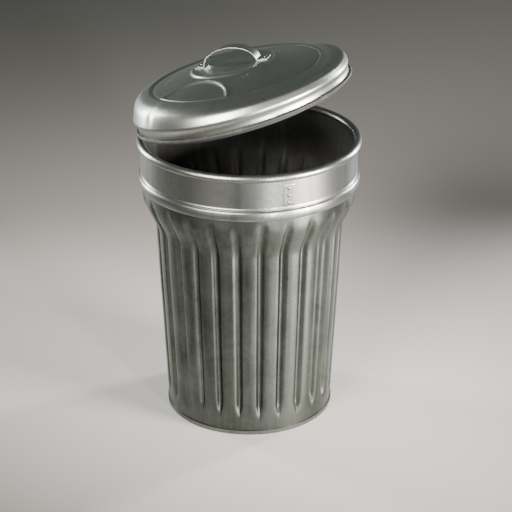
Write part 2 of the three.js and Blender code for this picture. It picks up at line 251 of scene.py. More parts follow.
# %% The galvanised material
def galvanised(
    name,
    light,
    dark,
    gloss,
    streak=0.5,
    grime=0.5,
    rust=0.0,
    metallic=1.0,
    spangle=9.0,
    drawn=0.0,
    stains=(),
):
    """Zinc-coated sheet. gloss is its mean roughness, spangle the crystal's width in mm, drawn
    how far the rolling marks stretch a highlight, and stains are places and reaches in metres."""
    material = bpy.data.materials.new(name)
    material.use_nodes = True
    tree = material.node_tree
    tree.nodes.clear()
    place = add_node(tree, "ShaderNodeTexCoord")["Object"]
    # Streaks are 9 mm wide and run 200 mm down the wall.
    upright = add_node(
        tree, "ShaderNodeMapping", {}, {"Vector": place, "Scale": (110.0, 110.0, 5.0)}
    )[0]
    tone, crystal, streaks, blotches = zinc_pattern(tree, place, upright, spangle, streak)
    clean = add_node(
        tree,
        "ShaderNodeMix",
        {"data_type": "RGBA"},
        {0: tone, 6: colour(dark), 7: colour(light)},
    )[2]
    masks = dirt_masks(tree, place, grime, stains)
    surface = weathered(tree, place, upright, clean, blotches, masks, grime, rust)
    _, specks, dirt = masks

    rough = add_node(
        tree, "ShaderNodeMapRange", {}, {0: tone, 1: 0.0, 2: 1.0, 3: gloss + 0.08, 4: gloss - 0.05}
    )[0]
    rough = add_node(
        tree, "ShaderNodeMath", {"operation": "MULTIPLY_ADD"}, {0: dirt, 1: 0.3, 2: rough}
    )[0]

    # The crystals, the rolling marks and the dirt stand a few hundredths of a millimetre proud.
    relief = add_node(
        tree, "ShaderNodeMath", {"operation": "MULTIPLY_ADD"}, {0: crystal, 1: 0.3, 2: streaks}
    )[0]
    relief = add_node(
        tree, "ShaderNodeMath", {"operation": "MULTIPLY_ADD"}, {0: specks, 1: 0.35, 2: relief}
    )[0]
    bump = add_node(
        tree, "ShaderNodeBump", {}, {"Strength": 0.14, "Distance": 0.0006, "Height": relief}
    )[0]
    shader = add_node(
        tree,
        "ShaderNodeBsdfPrincipled",
        {},
        {
            "Base Color": surface,
            "Metallic": metallic,
            "Roughness": rough,
            "Normal": bump,
            "Anisotropic": drawn,
            "Anisotropic Rotation": 0.25,
        },
    )[0]
    if drawn:
        # Rolling marks run up the wall, so they draw a highlight out upwards.
        round_wall = add_node(tree, "ShaderNodeTangent", {"direction_type": "RADIAL", "axis": "Z"})[0]
        tree.links.new(round_wall, shader.node.inputs["Tangent"])
    add_node(tree, "ShaderNodeOutputMaterial", {}, {"Surface": shader})
    return material


def wall_place(degrees, radius, height):
    """A place on the wall, from its angle about the can's axis."""
    angle = math.radians(degrees)
    return (radius * math.cos(angle), radius * math.sin(angle), height)


# The shell is the dullest, and its zinc is painted darker than the band's and the lid's. That is
# painted shade for the dark surroundings that its upright wall mirrors. The lid is handled most
# and stays smooth.
shell_stains = ((wall_place(223, 0.195, 0.34), 0.034), (wall_place(174, 0.185, 0.29), 0.020))
band_stains = ((wall_place(209, 0.225, 0.56), 0.065),)
zinc_shell = galvanised(
    "hot_dip_galvanised_shell", "#6c716c", "#373c37", 0.37, rust=0.8, drawn=0.6, stains=shell_stains
)
zinc_band = galvanised(
    "hot_dip_galvanised_band", "#a9aca9", "#777c78", 0.31, 0.25, 0.6, drawn=0.4, stains=band_stains
)
zinc_lid = galvanised("hot_dip_galvanised_lid", "#bcc1bb", "#8d938d", 0.32, 0.05, 0.2)
# The inner faces of the shell, the band and the pan, and the underside of the lid, take this zinc. It is
# painted much darker and less metallic than the outside zinc. That is painted shade for the dark inside of
# the can and the shade under the lid, with real dirt specks and film laid over it.
inside_zinc_painted_shade = galvanised("soiled_zinc_inside_painted_shade", "#3a3b39", "#1b1c1a", 0.7, 0.3, 1.0, metallic=0.3)
zinc_base = galvanised("dull_zinc_base", "#a4a8a4", "#737873", 0.36, 0.3, 0.8, 0.6)
zinc_hardware = galvanised("zinc_plated_hardware", "#a3a6a6", "#747777", 0.34, 0.1, spangle=3.0)
drawn_wire = galvanised("drawn_steel_wire", "#9c9fa0", "#707374", 0.32, 0.1, spangle=2.0)
metals = (zinc_shell, zinc_band, zinc_lid, inside_zinc_painted_shade, zinc_base, zinc_hardware, drawn_wire)
print("galvanised materials", [metal.name for metal in metals])

# %% [markdown]
# ## Rubber
# The lid's seal and the hinge washers are black EPDM rubber, moulded and matt. Its IOR is about
# 1.5. Zinc dust and handling leave it slightly grey in places, and its skin has a fine grain.

# %% The rubber material
def moulded_rubber(name):
    """Matt black rubber with a grey bloom and a fine grain."""
    material = bpy.data.materials.new(name)
    material.use_nodes = True
    tree = material.node_tree
    tree.nodes.clear()
    place = add_node(tree, "ShaderNodeTexCoord")["Object"]
    bloom = add_node(tree, "ShaderNodeTexNoise", {}, {"Vector": place, "Scale": 60.0, "Detail": 4.0})["Fac"]
    grain = add_node(tree, "ShaderNodeTexNoise", {}, {"Vector": place, "Scale": 900.0, "Detail": 2.0})["Fac"]
    tone = add_node(
        tree,
        "ShaderNodeMix",
        {"data_type": "RGBA"},
        {0: bloom, 6: colour("#0f0f10"), 7: colour("#2a2b2b")},
    )[2]
    rough = add_node(tree, "ShaderNodeMapRange", {}, {0: bloom, 1: 0.3, 2: 0.7, 3: 0.62, 4: 0.82})[0]
    bump = add_node(
        tree, "ShaderNodeBump", {}, {"Strength": 0.25, "Distance": 0.0003, "Height": grain}
    )[0]
    shader = add_node(
        tree,
        "ShaderNodeBsdfPrincipled",
        {},
        {"Base Color": tone, "Roughness": rough, "Normal": bump, "IOR": 1.5},
    )[0]
    add_node(tree, "ShaderNodeOutputMaterial", {}, {"Surface": shader})
    return material


black_rubber = moulded_rubber("moulded_epdm_rubber")
print("made", black_rubber.name)

# %% [markdown]
# ## The fluted shell
# A press rolls 26 grooves into the flat blank before it is bent round and seamed. The shape
# follows a rule: at every height the wall has a radius over its ribs, and between the ribs it
# dips by a depth that fades out towards the foot and under the rim band. The ribs are rounded
# a little too, so that each one catches the light in a line. That is a job for Geometry Nodes:
# a flat grid is bent round the axis, and each point's radius is worked out from its angle and
# its height. Sheet metal is never quite true, so a slow noise moves the wall by a fraction of
# a millimetre, which breaks up the reflections as it does on a real can.

# %% The rules of the wall's radius
groove_tip = (30 * MM, 72 * MM)  # over these heights the grooves open
groove_end = (462 * MM, 507 * MM)  # and over these they fade out, under the band


def radius_over_ribs(tree, given, height):
    """A straight taper up to the neck, then the flare to the collar."""
    taper_ends = {3: given["Base Radius"], 4: given["Neck Radius"]}
    taper = add_node(
        tree,
        "ShaderNodeMapRange",
        {},
        {0: height, 1: given["Foot"], 2: given["Neck Height"], **taper_ends},
    )[0]
    flare = add_node(
        tree,
        "ShaderNodeMapRange",
        {"interpolation_type": "SMOOTHSTEP"},
        {0: height, 1: given["Neck Height"], 2: given["Collar Height"], 3: 0.0, 4: given["Flare"]},
    )[0]
    return add_node(tree, "ShaderNodeMath", {"operation": "ADD"}, {0: taper, 1: flare})[0]


def dip_between_ribs(tree, given, turn, height):
    """How far a point lies below the ribs' tops, and how much of the groove there is here."""
    # How far this point is from the middle of its rib, in parts of the pitch, 0 to 0.5.
    along = add_node(tree, "ShaderNodeMath", {"operation": "MULTIPLY"}, {0: turn, 1: given["Flutes"]})[0]
    from_rib = add_node(tree, "ShaderNodeMath", {"operation": "PINGPONG"}, {0: along, 1: 0.5})[0]

    # The grooves start as points above the foot and widen, and they end under the band.
    opening = add_node(
        tree,
        "ShaderNodeMapRange",
        {"interpolation_type": "SMOOTHSTEP"},
        {0: height, 1: groove_tip[0], 2: groove_tip[1], 3: 0.0, 4: 1.0},
    )[0]
    fading = add_node(
        tree,
        "ShaderNodeMapRange",
        {"interpolation_type": "SMOOTHSTEP"},
        {0: height, 1: groove_end[0], 2: groove_end[1], 3: 1.0, 4: 0.0},
    )[0]
    window = add_node(tree, "ShaderNodeMath", {"operation": "MULTIPLY"}, {0: opening, 1: fading})[0]
    rib_edge = add_node(
        tree, "ShaderNodeMapRange", {}, {0: opening, 1: 0.0, 2: 1.0, 3: 0.46, 4: 0.29}
    )[0]
    groove_edge = add_node(
        tree, "ShaderNodeMapRange", {}, {0: opening, 1: 0.0, 2: 1.0, 3: 0.54, 4: 0.44}
    )[0]
    groove_share = add_node(
        tree,
        "ShaderNodeMapRange",
        {"interpolation_type": "SMOOTHSTEP"},
        {0: from_rib, 1: rib_edge, 2: groove_edge, 3: 0.0, 4: window},
    )[0]

    # Away from its middle the rib falls off as a parabola, so that it shines along one line.
    squared = add_node(tree, "ShaderNodeMath", {"operation": "MULTIPLY"}, {0: from_rib, 1: from_rib})[0]
    crown = add_node(
        tree, "ShaderNodeMath", {"operation": "MULTIPLY"}, {0: squared, 1: given["Rib Crown"]}
    )[0]
    crown = add_node(tree, "ShaderNodeMath", {"operation": "MULTIPLY"}, {0: crown, 1: window})[0]
    dip = add_node(
        tree,
        "ShaderNodeMath",
        {"operation": "MULTIPLY_ADD"},
        {0: groove_share, 1: given["Groove Depth"], 2: crown},
    )[0]
    return dip, window


print("grooves from", groove_tip[0], "to", groove_end[1], "m")

# %% The shell's node tree
def fluted_tree(metal):
    """Bends a grid round the axis into the fluted wall, from its named sizes."""
    tree = bpy.data.node_groups.new("fluted_wall", "GeometryNodeTree")
    sockets = tree.interface
    sockets.new_socket("Geometry", in_out="INPUT", socket_type="NodeSocketGeometry")
    sizes = (
        "Foot", "Top", "Base Radius", "Neck Radius", "Flare", "Neck Height", "Collar Height",
        "Groove Depth", "Rib Crown", "Rib Angle",
    )
    for size in sizes:
        sockets.new_socket(size, in_out="INPUT", socket_type="NodeSocketFloat")
    for count in ("Flutes", "Columns", "Rows"):
        sockets.new_socket(count, in_out="INPUT", socket_type="NodeSocketInt")
    sockets.new_socket("Geometry", in_out="OUTPUT", socket_type="NodeSocketGeometry")
    given = add_node(tree, "NodeGroupInput")

    # A flat grid, one unit wide and high: X becomes the angle and Y becomes the height.
    grid = add_node(
        tree,
        "GeometryNodeMeshGrid",
        {},
        {"Size X": 1.0, "Size Y": 1.0, "Vertices X": given["Columns"], "Vertices Y": given["Rows"]},
    )["Mesh"]
    flat = add_node(tree, "ShaderNodeSeparateXYZ", {}, {0: add_node(tree, "GeometryNodeInputPosition")[0]})
    turn = add_node(tree, "ShaderNodeMath", {"operation": "ADD"}, {0: flat["X"], 1: 0.5})[0]
    angle = add_node(
        tree,
        "ShaderNodeMath",
        {"operation": "MULTIPLY_ADD"},
        {0: turn, 1: 2 * math.pi, 2: given["Rib Angle"]},
    )[0]
    height = add_node(
        tree, "ShaderNodeMapRange", {}, {0: flat["Y"], 1: -0.5, 2: 0.5, 3: given["Foot"], 4: given["Top"]}
    )[0]
    crest = radius_over_ribs(tree, given, height)
    dip, window = dip_between_ribs(tree, given, turn, height)
    radius = add_node(tree, "ShaderNodeMath", {"operation": "SUBTRACT"}, {0: crest, 1: dip})[0]

    # The sheet is uneven by up to half a millimetre, in waves some 50 mm wide and 250 mm tall.
    across = add_node(tree, "ShaderNodeMath", {"operation": "COSINE"}, {0: angle})[0]
    deep = add_node(tree, "ShaderNodeMath", {"operation": "SINE"}, {0: angle})[0]
    spot = add_node(tree, "ShaderNodeCombineXYZ", {}, {0: across, 1: deep, 2: height})[0]
    waves = add_node(
        tree,
        "ShaderNodeTexNoise",
        {"noise_dimensions": "3D"},
        {"Vector": spot, "Scale": 4.0, "Detail": 3.0, "Roughness": 0.5},
    )["Fac"]
    held = add_node(
        tree, "ShaderNodeMapRange", {}, {0: waves, 1: 0.0, 2: 1.0, 3: -0.9 * MM, 4: 0.9 * MM}
    )[0]
    uneven = add_node(tree, "ShaderNodeMath", {"operation": "MULTIPLY"}, {0: held, 1: window})[0]
    radius = add_node(tree, "ShaderNodeMath", {"operation": "ADD"}, {0: radius, 1: uneven})[0]

    round_x = add_node(tree, "ShaderNodeMath", {"operation": "MULTIPLY"}, {0: across, 1: radius})[0]
    round_y = add_node(tree, "ShaderNodeMath", {"operation": "MULTIPLY"}, {0: deep, 1: radius})[0]
    place = add_node(tree, "ShaderNodeCombineXYZ", {}, {0: round_x, 1: round_y, 2: height})[0]
    bent = add_node(tree, "GeometryNodeSetPosition", {}, {"Geometry": grid, "Position": place})[0]
    seamed = add_node(
        tree, "GeometryNodeMergeByDistance", {}, {"Geometry": bent, "Distance": 0.01 * MM}
    )[0]
    smooth = add_node(tree, "GeometryNodeSetShadeSmooth", {}, {"Geometry": seamed, "Shade Smooth": True})[0]
    real = add_node(tree, "GeometryNodeRealizeInstances", {}, {"Geometry": smooth})[0]
    finished = add_node(tree, "GeometryNodeSetMaterial", {}, {"Geometry": real, "Material": metal})[0]
    add_node(tree, "NodeGroupOutput", {}, {"Geometry": finished})
    return tree


wall_tree = fluted_tree(zinc_shell)
print("nodes in the wall's tree:", len(wall_tree.nodes))

# %% Grow the shell from its sizes
def set_inputs(modifier, values):
    """Sets a node modifier's inputs by their names, through the identifiers that it needs."""
    identifiers = {
        item.name: item.identifier
        for item in modifier.node_group.interface.items_tree
        if item.item_type == "SOCKET" and item.in_out == "INPUT"
    }
    for name, value in values.items():
        modifier[identifiers[name]] = value


def new_object(name, mesh):
    """An object in the scene that carries this mesh, light or camera."""
    piece = bpy.data.objects.new(name, mesh)
    bpy.context.scene.collection.objects.link(piece)
    return piece


def made_plain(worker, name):
    """Turns an object with modifiers into a plain mesh object, and removes the worker."""
    bpy.context.view_layer.update()
    depsgraph = bpy.context.evaluated_depsgraph_get()
    mesh = bpy.data.meshes.new_from_object(
        worker.evaluated_get(depsgraph), preserve_all_data_layers=True, depsgraph=depsgraph
    )
    mesh.name = name
    bpy.data.objects.remove(worker)
    return new_object(name, mesh)


def add_wall(worker, thickness, inner_slot):
    """Gives an open sheet its thickness, inwards from the side that its faces point to."""
    wall = worker.modifiers.new("wall", "SOLIDIFY")
    wall.thickness = thickness
    wall.offset = -1
    wall.use_even_offset = True
    wall.material_offset = inner_slot
    wall.material_offset_rim = inner_slot
    return wall


shell_worker = new_object("shell_worker", bpy.data.meshes.new("shell_worker"))
shell_nodes = shell_worker.modifiers.new("wall_rule", "NODES")
shell_nodes.node_group = wall_tree
set_inputs(
    shell_nodes,
    {
        "Foot": shell_foot,
        "Top": shell_top,
        "Base Radius": base_radius,
        "Neck Radius": neck_radius,
        "Flare": collar_radius - neck_radius,
        "Neck Height": 412 * MM,
        "Collar Height": 492 * MM,
        "Groove Depth": 6.0 * MM,
        "Rib Crown": 16.0 * MM,
        "Rib Angle": rib_angle,
        "Flutes": flute_count,
        "Columns": flute_count * 18 + 1,
        "Rows": 92,
    },
)
shell_open = made_plain(shell_worker, "shell_open")
for metal in (zinc_shell, inside_zinc_painted_shade):
    if metal.name not in shell_open.data.materials:
        shell_open.data.materials.append(metal)
add_wall(shell_open, sheet, 1)
fluted_shell = made_plain(shell_open, "fluted_shell")
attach(fluted_shell, "can")
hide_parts("body_shell")
print("shell faces", len(fluted_shell.data.polygons), "materials", len(fluted_shell.data.materials))

# %% [markdown]
# ## Spun and rolled pieces
# The band, the pan, the hoop and the lid are all sheet turned round the can's axis. Each is
# described by the path that the middle of its sheet follows in a cut through the axis. Corners
# of bent sheet are never sharp, so each corner of a path says how wide it is rounded.

# %% Profiles
def rounded_path(corners, steps=6):
    """Points along a path of (radius, height, rounding) corners, in mm, with its bends rounded."""
    points = []
    for i, (r, z, rounding) in enumerate(corners):
        here = Vector((r, z))
        if i in (0, len(corners) - 1) or rounding == 0:
            points.append(here)
            continue
        back = Vector(corners[i - 1][:2]) - here
        ahead = Vector(corners[i + 1][:2]) - here
        reach = min(rounding, back.length * 0.49, ahead.length * 0.49)
        start = here + back.normalized() * reach
        end = here + ahead.normalized() * reach
        for step in range(steps + 1):
            t = step / steps
            points.append(start * (1 - t) ** 2 + here * 2 * t * (1 - t) + end * t**2)
    return [p * MM for p in points]


def arc_path(centre_r, centre_z, radius, from_degrees, to_degrees, steps):
    """Points of an arc, given in mm and degrees."""
    points = []
    for step in range(steps + 1):
        a = math.radians(from_degrees + (to_degrees - from_degrees) * step / steps)
        points.append(Vector((centre_r + radius * math.cos(a), centre_z + radius * math.sin(a))) * MM)
    return points


def evened(path, longest):
    """The same path with long stretches divided, so that the sheet can be uneven along them."""
    points = [path[0]]
    for here, ahead in zip(path, path[1:]):
        parts = max(1, math.ceil((ahead - here).length / longest))
        points += [here.lerp(ahead, part / parts) for part in range(1, parts + 1)]
    return points


def sheet_sides(path, thickness):
    """The two sides of a sheet whose middle follows the path."""
    left, right = [], []
    for i, point in enumerate(path):
        along = path[min(i + 1, len(path) - 1)] - path[max(i - 1, 0)]
        across = Vector((-along.y, along.x)).normalized() * thickness / 2
        left.append(point + across)
        right.append(point - across)
    return left, right


def spun_sheet(name, path, thickness, materials, columns=208, uneven=None):
    """A closed ring or dish of sheet. The left side of the path takes the first material."""
    left, right = sheet_sides(path, thickness)
    outline = left + right[::-1]
    rows = len(outline)
    mesh = bpy.data.meshes.new(name)
    builder = bmesh.new()
    rings = []
    for column in range(columns):
        angle = 2 * math.pi * column / columns
        ring = []
        for r, z in outline:
            shift = uneven(angle, max(r, 0), z) if uneven else Vector((0, 0))
            radius = max(r + shift.x, 0)
            ring.append(
                builder.verts.new(
                    (radius * math.cos(angle), radius * math.sin(angle), z + shift.y)
                )
            )
        rings.append(ring)
    for column in range(columns):
        here, ahead = rings[column], rings[(column + 1) % columns]
        for row in range(rows):
            above = (row + 1) % rows
            face = builder.faces.new((here[row], here[above], ahead[above], ahead[row]))
            face.smooth = True
            face.material_index = 0 if row < len(left) - 1 or len(materials) == 1 else 1
    bmesh.ops.remove_doubles(builder, verts=builder.verts, dist=0.002 * MM)
    bmesh.ops.dissolve_degenerate(builder, edges=builder.edges, dist=0.001 * MM)
    bmesh.ops.recalc_face_normals(builder, faces=builder.faces)
    builder.to_mesh(mesh)
    builder.free()
    for metal in materials:
        mesh.materials.append(metal)
    return new_object(name, mesh)


def keep_edges(piece, degrees=40):
    """Smooth shading that stops at the sheet's cut edges."""
    piece.data.set_sharp_from_angle(angle=math.radians(degrees))


keep_edges(fluted_shell)
print("a 3-corner path has", len(rounded_path([(0, 0, 0), (10, 0, 2), (10, 10, 0)])), "points")

# %% [markdown]
# ## The rim band
# A heavier strip is rolled into a hoop that stiffens the mouth. Its lower edge carries a bead
# with a fine pressed line above it, its waist is plain, and its top edge is curled round a wire.
# The strip's two ends lap, and the lap is riveted.

# %% The band
waist = collar_radius / MM + 1.3
curl_radius = 7.6
curl_centre_r = 225.2
curl_centre_z = can_height / MM - curl_radius - band_sheet / MM / 2
band_foot = band_low.z / MM + 0.2

band_corners = [
    (waist, band_foot, 0),
    (waist + 4.4, band_foot + 2.4, 3),
    (waist + 5.6, band_foot + 11, 6),
    (waist + 4.4, band_foot + 19.6, 3),
    (waist + 0.2, band_foot + 22, 2),
    (waist + 1.4, band_foot + 24.6, 1.6),
    (waist, band_foot + 27.2, 1.6),
    (waist, curl_centre_z - curl_radius - 7, 3),
    (curl_centre_r - 0.5, curl_centre_z - curl_radius, 0),
]
band_path = rounded_path(band_corners) + arc_path(
    curl_centre_r, curl_centre_z, curl_radius, -86, 231, 30
)
band_path = evened(band_path, 6 * MM)


def band_ripple(angle, r, z):
    """The hoop is a little out of round, most of all along its waist."""
    place = Vector((math.cos(angle) * 3.0, math.sin(angle) * 3.0, z * 12.0))
    return Vector((noise.noise(place) * 0.35 * MM, 0))


rim_hoop = spun_sheet(
    "rolled_rim_band", band_path, band_sheet, [inside_zinc_painted_shade, zinc_band], 260, band_ripple
)
keep_edges(rim_hoop)
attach(rim_hoop, "can")
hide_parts("rim_band")
print("band faces", len(rim_hoop.data.polygons))

# %% The lap of the band
def lapped_strip():
    """The overlapping end of the band: a curved plate with its long edges worn round."""
    low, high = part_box("band_lap_strip")
    inner = waist * MM + band_sheet / 2 + gap
    half_angle = 0.05
    builder = bmesh.new()
    rows, columns = 12, 12
    grid = []
    for row in range(rows + 1):
        z = low.z + (high.z - low.z) * row / rows
        line = []
        for column in range(columns + 1):
            a = lap_angle + half_angle * (2 * column / columns - 1)
            line.append(
                builder.verts.new(
                    ((inner + band_sheet) * math.cos(a), (inner + band_sheet) * math.sin(a), z)
                )
            )
        grid.append(line)
    for row in range(rows):
        for column in range(columns):
            corners = (
                grid[row][column],
                grid[row][column + 1],
                grid[row + 1][column + 1],
                grid[row + 1][column],
            )
            builder.faces.new(corners).smooth = True
    mesh = bpy.data.meshes.new("lap_worker")
    builder.to_mesh(mesh)
    builder.free()
    mesh.materials.append(zinc_band)
    worker = new_object("lap_worker", mesh)
    add_wall(worker, band_sheet, 0)
    soft = worker.modifiers.new("worn_edges", "BEVEL")
    soft.width = 0.3 * MM
    soft.segments = 2
    return made_plain(worker, "band_lap")


band_lap = lapped_strip()
keep_edges(band_lap)
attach(band_lap, "can")
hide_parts("band_lap_strip")
print("lap at", round(math.degrees(lap_angle), 1), "degrees")

# %% [markdown]
# ## The foot
# The bottom is a dished pan pressed from sheet, with a raised middle. Its turned-down flange
# stands inside the shell, and a channel is folded round both edges. The can stands on it.

# %% The pan and the hoop
flange_outside = base_radius / MM - sheet / MM - 0.5
pan_wall = band_sheet / MM
pan_corners = [
    (0, 19, 0),
    (60, 19.2, 8),
    (118, 19, 5),
    (130, 14, 5),
    (flange_outside - 4, 14, 3),
    (flange_outside - pan_wall / 2, 13, 2.5),
    (flange_outside - pan_wall / 2, 2.4, 0),
]


def pan_ripple(angle, r, z):
    """The pan's floor is a little wavy; its flange is held true by the hoop."""
    place = Vector((math.cos(angle) * r * 18, math.sin(angle) * r * 18, 0))
    return Vector((0, noise.noise(place) * 0.5 * MM)) if r < 165 * MM else Vector((0, 0))


pan_path = evened(rounded_path(pan_corners), 9 * MM)
bottom_pan = spun_sheet(
    "pressed_bottom_pan", pan_path, band_sheet, [inside_zinc_painted_shade, zinc_base], 156, pan_ripple
)
keep_edges(bottom_pan)
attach(bottom_pan, "can")
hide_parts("bottom_pan")

hoop_wall = 1.4
hoop_outside = hoop_radius / MM
hoop_inside = flange_outside - pan_wall - gap / MM - hoop_wall
hoop_corners = [
    (hoop_outside - hoop_wall / 2, 9, 0),
    (hoop_outside - hoop_wall / 2, hoop_wall / 2, 1.2),
    (hoop_inside + hoop_wall / 2, hoop_wall / 2, 1.2),
    (hoop_inside + hoop_wall / 2, 9, 0),
]
base_hoop = spun_sheet(
    "folded_base_hoop", rounded_path(hoop_corners, 4), hoop_wall * MM, [zinc_base], 208
)
keep_edges(base_hoop)
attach(base_hoop, "can")
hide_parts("base_hoop")
print("foot", round(hoop_outside * 2), "mm across")

# %% [markdown]
# ## The lid
# The lid is pressed from one sheet: a short skirt with its edge curled round a wire, a broad
# round shoulder, a step like a ring, a shallow cone, and a flat raised disc that carries the
# handle. Its crown leans towards the front, and a curved panel is pressed into it. The lid is
# described closed, as it is made, and then turned about the hinge pin to where it stands. Thin
# pressings get knocked: a slow ripple and a few dents are worked out for each point.

# %% The lid's shape
lid_turn = (
    Matrix.Translation(pin) @ Matrix.Rotation(-rest_opening, 4, "X") @ Matrix.Translation(-pin)
)


def stand_open(piece):
    """Turns a piece that was made on the closed lid to where the lid stands."""
    piece.data.transform(lid_turn)
    return piece


rim_z = can_height / MM
disc_z = rim_z + 86
disc_radius = 84
shoulder_radius = 228
crown_lean = 0.07  # the crown stands lower at the front than at the rear: rise over run
roll_radius = 3.2
roll_centre_r = 226.6
roll_centre_z = rim_z + 0.5 + roll_radius + sheet / MM / 2
skirt_radius = roll_centre_r - roll_radius
lid_corners = [
    (0, disc_z, 0),
    (disc_radius, disc_z, 2.5),
    (disc_radius + 5, disc_z - 4.5, 2.5),
    (169, disc_z - 22.5, 3),
    (174, disc_z - 24.5, 2.5),
    (180, disc_z - 20.5, 4),
    (198, rim_z + 60, 16),
    (221, rim_z + 49, 24),
    (shoulder_radius + 1, rim_z + 28, 13),
    (skirt_radius + 1.2, rim_z + 19.5, 1.6),
    (skirt_radius, rim_z + 15, 2.0),
    (skirt_radius, roll_centre_z, 0),
]
lid_path = rounded_path(lid_corners, 10) + arc_path(
    roll_centre_r, roll_centre_z, roll_radius, 190, 440, 16
)
lid_path = evened(lid_path, 3 * MM)

# Each dent: its angle, radius and height on the closed lid, its half-widths round and across
# the lid, and its depth, in degrees and mm.
dents = (
    (203, 223, 28, 8, 4.5, 2.4),
    (143, 210, 50, 2.2, 18, 1.8),
    (331, 110, 72, 9, 24, 2.4),
    (274, 212, 50, 26, 24, 5.0),
    (95, 150, 66, 9, 12, 1.5),
)

# A stiffening panel is pressed into the crown: the part of a circle that lies inside the ring.
panel_middle = Vector((math.cos(math.radians(164)), math.sin(math.radians(164)))) * 182
panel_radius = 88
panel_ring = 170
panel_depth = 2.2


def panel_relief(angle, r):
    """How far the pressed panel moves the sheet, in mm: a raised bead round a sunk floor."""
    here = Vector((math.cos(angle), math.sin(angle))) * (r / MM)
    inside = min(panel_radius - (here - panel_middle).length, panel_ring - r / MM)
    bead = 1.5 * math.exp(-((inside / 3.6) ** 2))
    sunk = min(1, max(0, (inside - 1) / 6))
    return bead - panel_depth * sunk**2 * (3 - 2 * sunk)


def lid_ripple(angle, r, z):
    """What moves a point of the lid: the ripple, the dents, the pressed panel and the lean."""
    place = Vector((math.cos(angle) * r * 9, math.sin(angle) * r * 9, z * 9))
    shift = noise.noise(place) * 0.9 * MM * min(1, r / (40 * MM))
    inward = Vector((-0.6, -0.8)) * shift
    for dent_angle, dent_r, dent_rise, half_turn, half_width, depth in dents:
        off = math.degrees(angle) - dent_angle
        off = (off + 180) % 360 - 180
        across = math.hypot(r / MM - dent_r, z / MM - rim_z - dent_rise)
        weight = math.exp(-((off / half_turn) ** 2) - (across / half_width) ** 2)
        inward += Vector((-0.8, -0.6)) * depth * MM * weight
    if r > (disc_radius + 8) * MM and z > (rim_z + 40) * MM:
        inward += Vector((0, panel_relief(angle, r) * MM))
    lean_share = min(1, max(0, (z / MM - rim_z - 40) / 20))
    lean_share = lean_share**2 * (3 - 2 * lean_share)
    lean = Vector((0, crown_lean * r * math.sin(angle) * lean_share))
    flat_disc = r < (disc_radius - 4) * MM
    return lean if flat_disc else lean + inward


lid_dome = stand_open(
    spun_sheet("pressed_lid", lid_path, sheet, [zinc_lid, inside_zinc_painted_shade], 360, lid_ripple)
)
keep_edges(lid_dome)
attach(lid_dome, "lid")
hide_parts("lid_shell")
print("lid faces", len(lid_dome.data.polygons))

# %% [markdown]
# ## Inside the lid
# A flange welded inside the lid drops into the mouth and centres the lid, and a rubber channel
# pushed over its edge keeps it from clanging. Both are spun from their paths, like the lid.

# %% The flange and its seal
lip_radius = 212.5
lip_foot = rim_z - 5
flange_corners = [
    (skirt_radius - 1.2, rim_z + 17, 0),
    (skirt_radius - 1.2, rim_z + 9, 3),
    (lip_radius, rim_z + 5, 2),
    (lip_radius, lip_foot, 0),
]
lid_flange = stand_open(
    spun_sheet("lid_locating_flange", rounded_path(flange_corners), sheet, [zinc_base], 208)
)
keep_edges(lid_flange)
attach(lid_flange, "lid")
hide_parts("lid_flange")

seal_wall = 1.6
seal_room = sheet / MM / 2 + gap / MM + seal_wall / 2
seal_foot = lip_foot - gap / MM - seal_wall / 2
seal_corners = [
    (lip_radius + seal_room, lip_foot + 6, 0),
    (lip_radius + seal_room, seal_foot, 1.6),
    (lip_radius - seal_room, seal_foot, 1.6),
    (lip_radius - seal_room, lip_foot + 6, 0),
]
lid_seal = stand_open(
    spun_sheet(
        "rubber_lid_seal", rounded_path(seal_corners), seal_wall * MM, [black_rubber], 208
    )
)
keep_edges(lid_seal, 60)
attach(lid_seal, "lid")
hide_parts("lid_seal")
print("seal across", round(2 * (lip_radius + seal_room + seal_wall / 2), 1), "mm")

# %% [markdown]
# ## Bent straps: the handle and the hinge leaves
# These are flat blanks bent along a path seen from the side. The blank is a grid of faces laid
# along that path, with the cells that the blank doesn't cover left out. It then gets its
# thickness, and its edges are rounded a little, as tumbling leaves them.

# %% A bent blank
def bent_blank(name, path, thickness, across, covers, metal, edge=0.3 * MM):
    """path holds (Y, Z) points; across the X of the grid's lines; covers says which cells stay."""
    builder = bmesh.new()
    grid = [[builder.verts.new((x, y, z)) for x in across] for y, z in path]
    for row in range(len(path) - 1):
        for column in range(len(across) - 1):
            middle = (across[column] + across[column + 1]) / 2
            if not covers(row, middle):
                continue
            corners = (
                grid[row][column],
                grid[row][column + 1],
                grid[row + 1][column + 1],
                grid[row + 1][column],
            )
            builder.faces.new(corners).smooth = True
    loose = [v for v in builder.verts if not v.link_faces]
    bmesh.ops.delete(builder, geom=loose, context="VERTS")
    mesh = bpy.data.meshes.new(name + "_worker")
    builder.to_mesh(mesh)
    builder.free()
    mesh.materials.append(metal)
    worker = new_object(name + "_worker", mesh)
    wall = add_wall(worker, thickness, 0)
    wall.offset = 0
    soft = worker.modifiers.new("tumbled_edges", "BEVEL")
    soft.width = edge
    soft.segments = 3
    soft.limit_method = "ANGLE"
    soft.angle_limit = math.radians(50)
    piece = made_plain(worker, name)
    keep_edges(piece, 50)
    return piece


def even_lines(half_width, count):
    """Grid lines from one edge of a strap to the other."""
    return [half_width * (2 * i / count - 1) for i in range(count + 1)]


print("grid lines of a 28 mm strap:", [round(x / MM) for x in even_lines(14 * MM, 4)])

# %% The strap handle
handle_sheet = 2 * MM
handle_half_width = 14 * MM
handle_rise = 33
handle_span = 57
foot_reach = 80
handle_level = disc_z + (sheet / 2 + gap + handle_sheet / 2) / MM


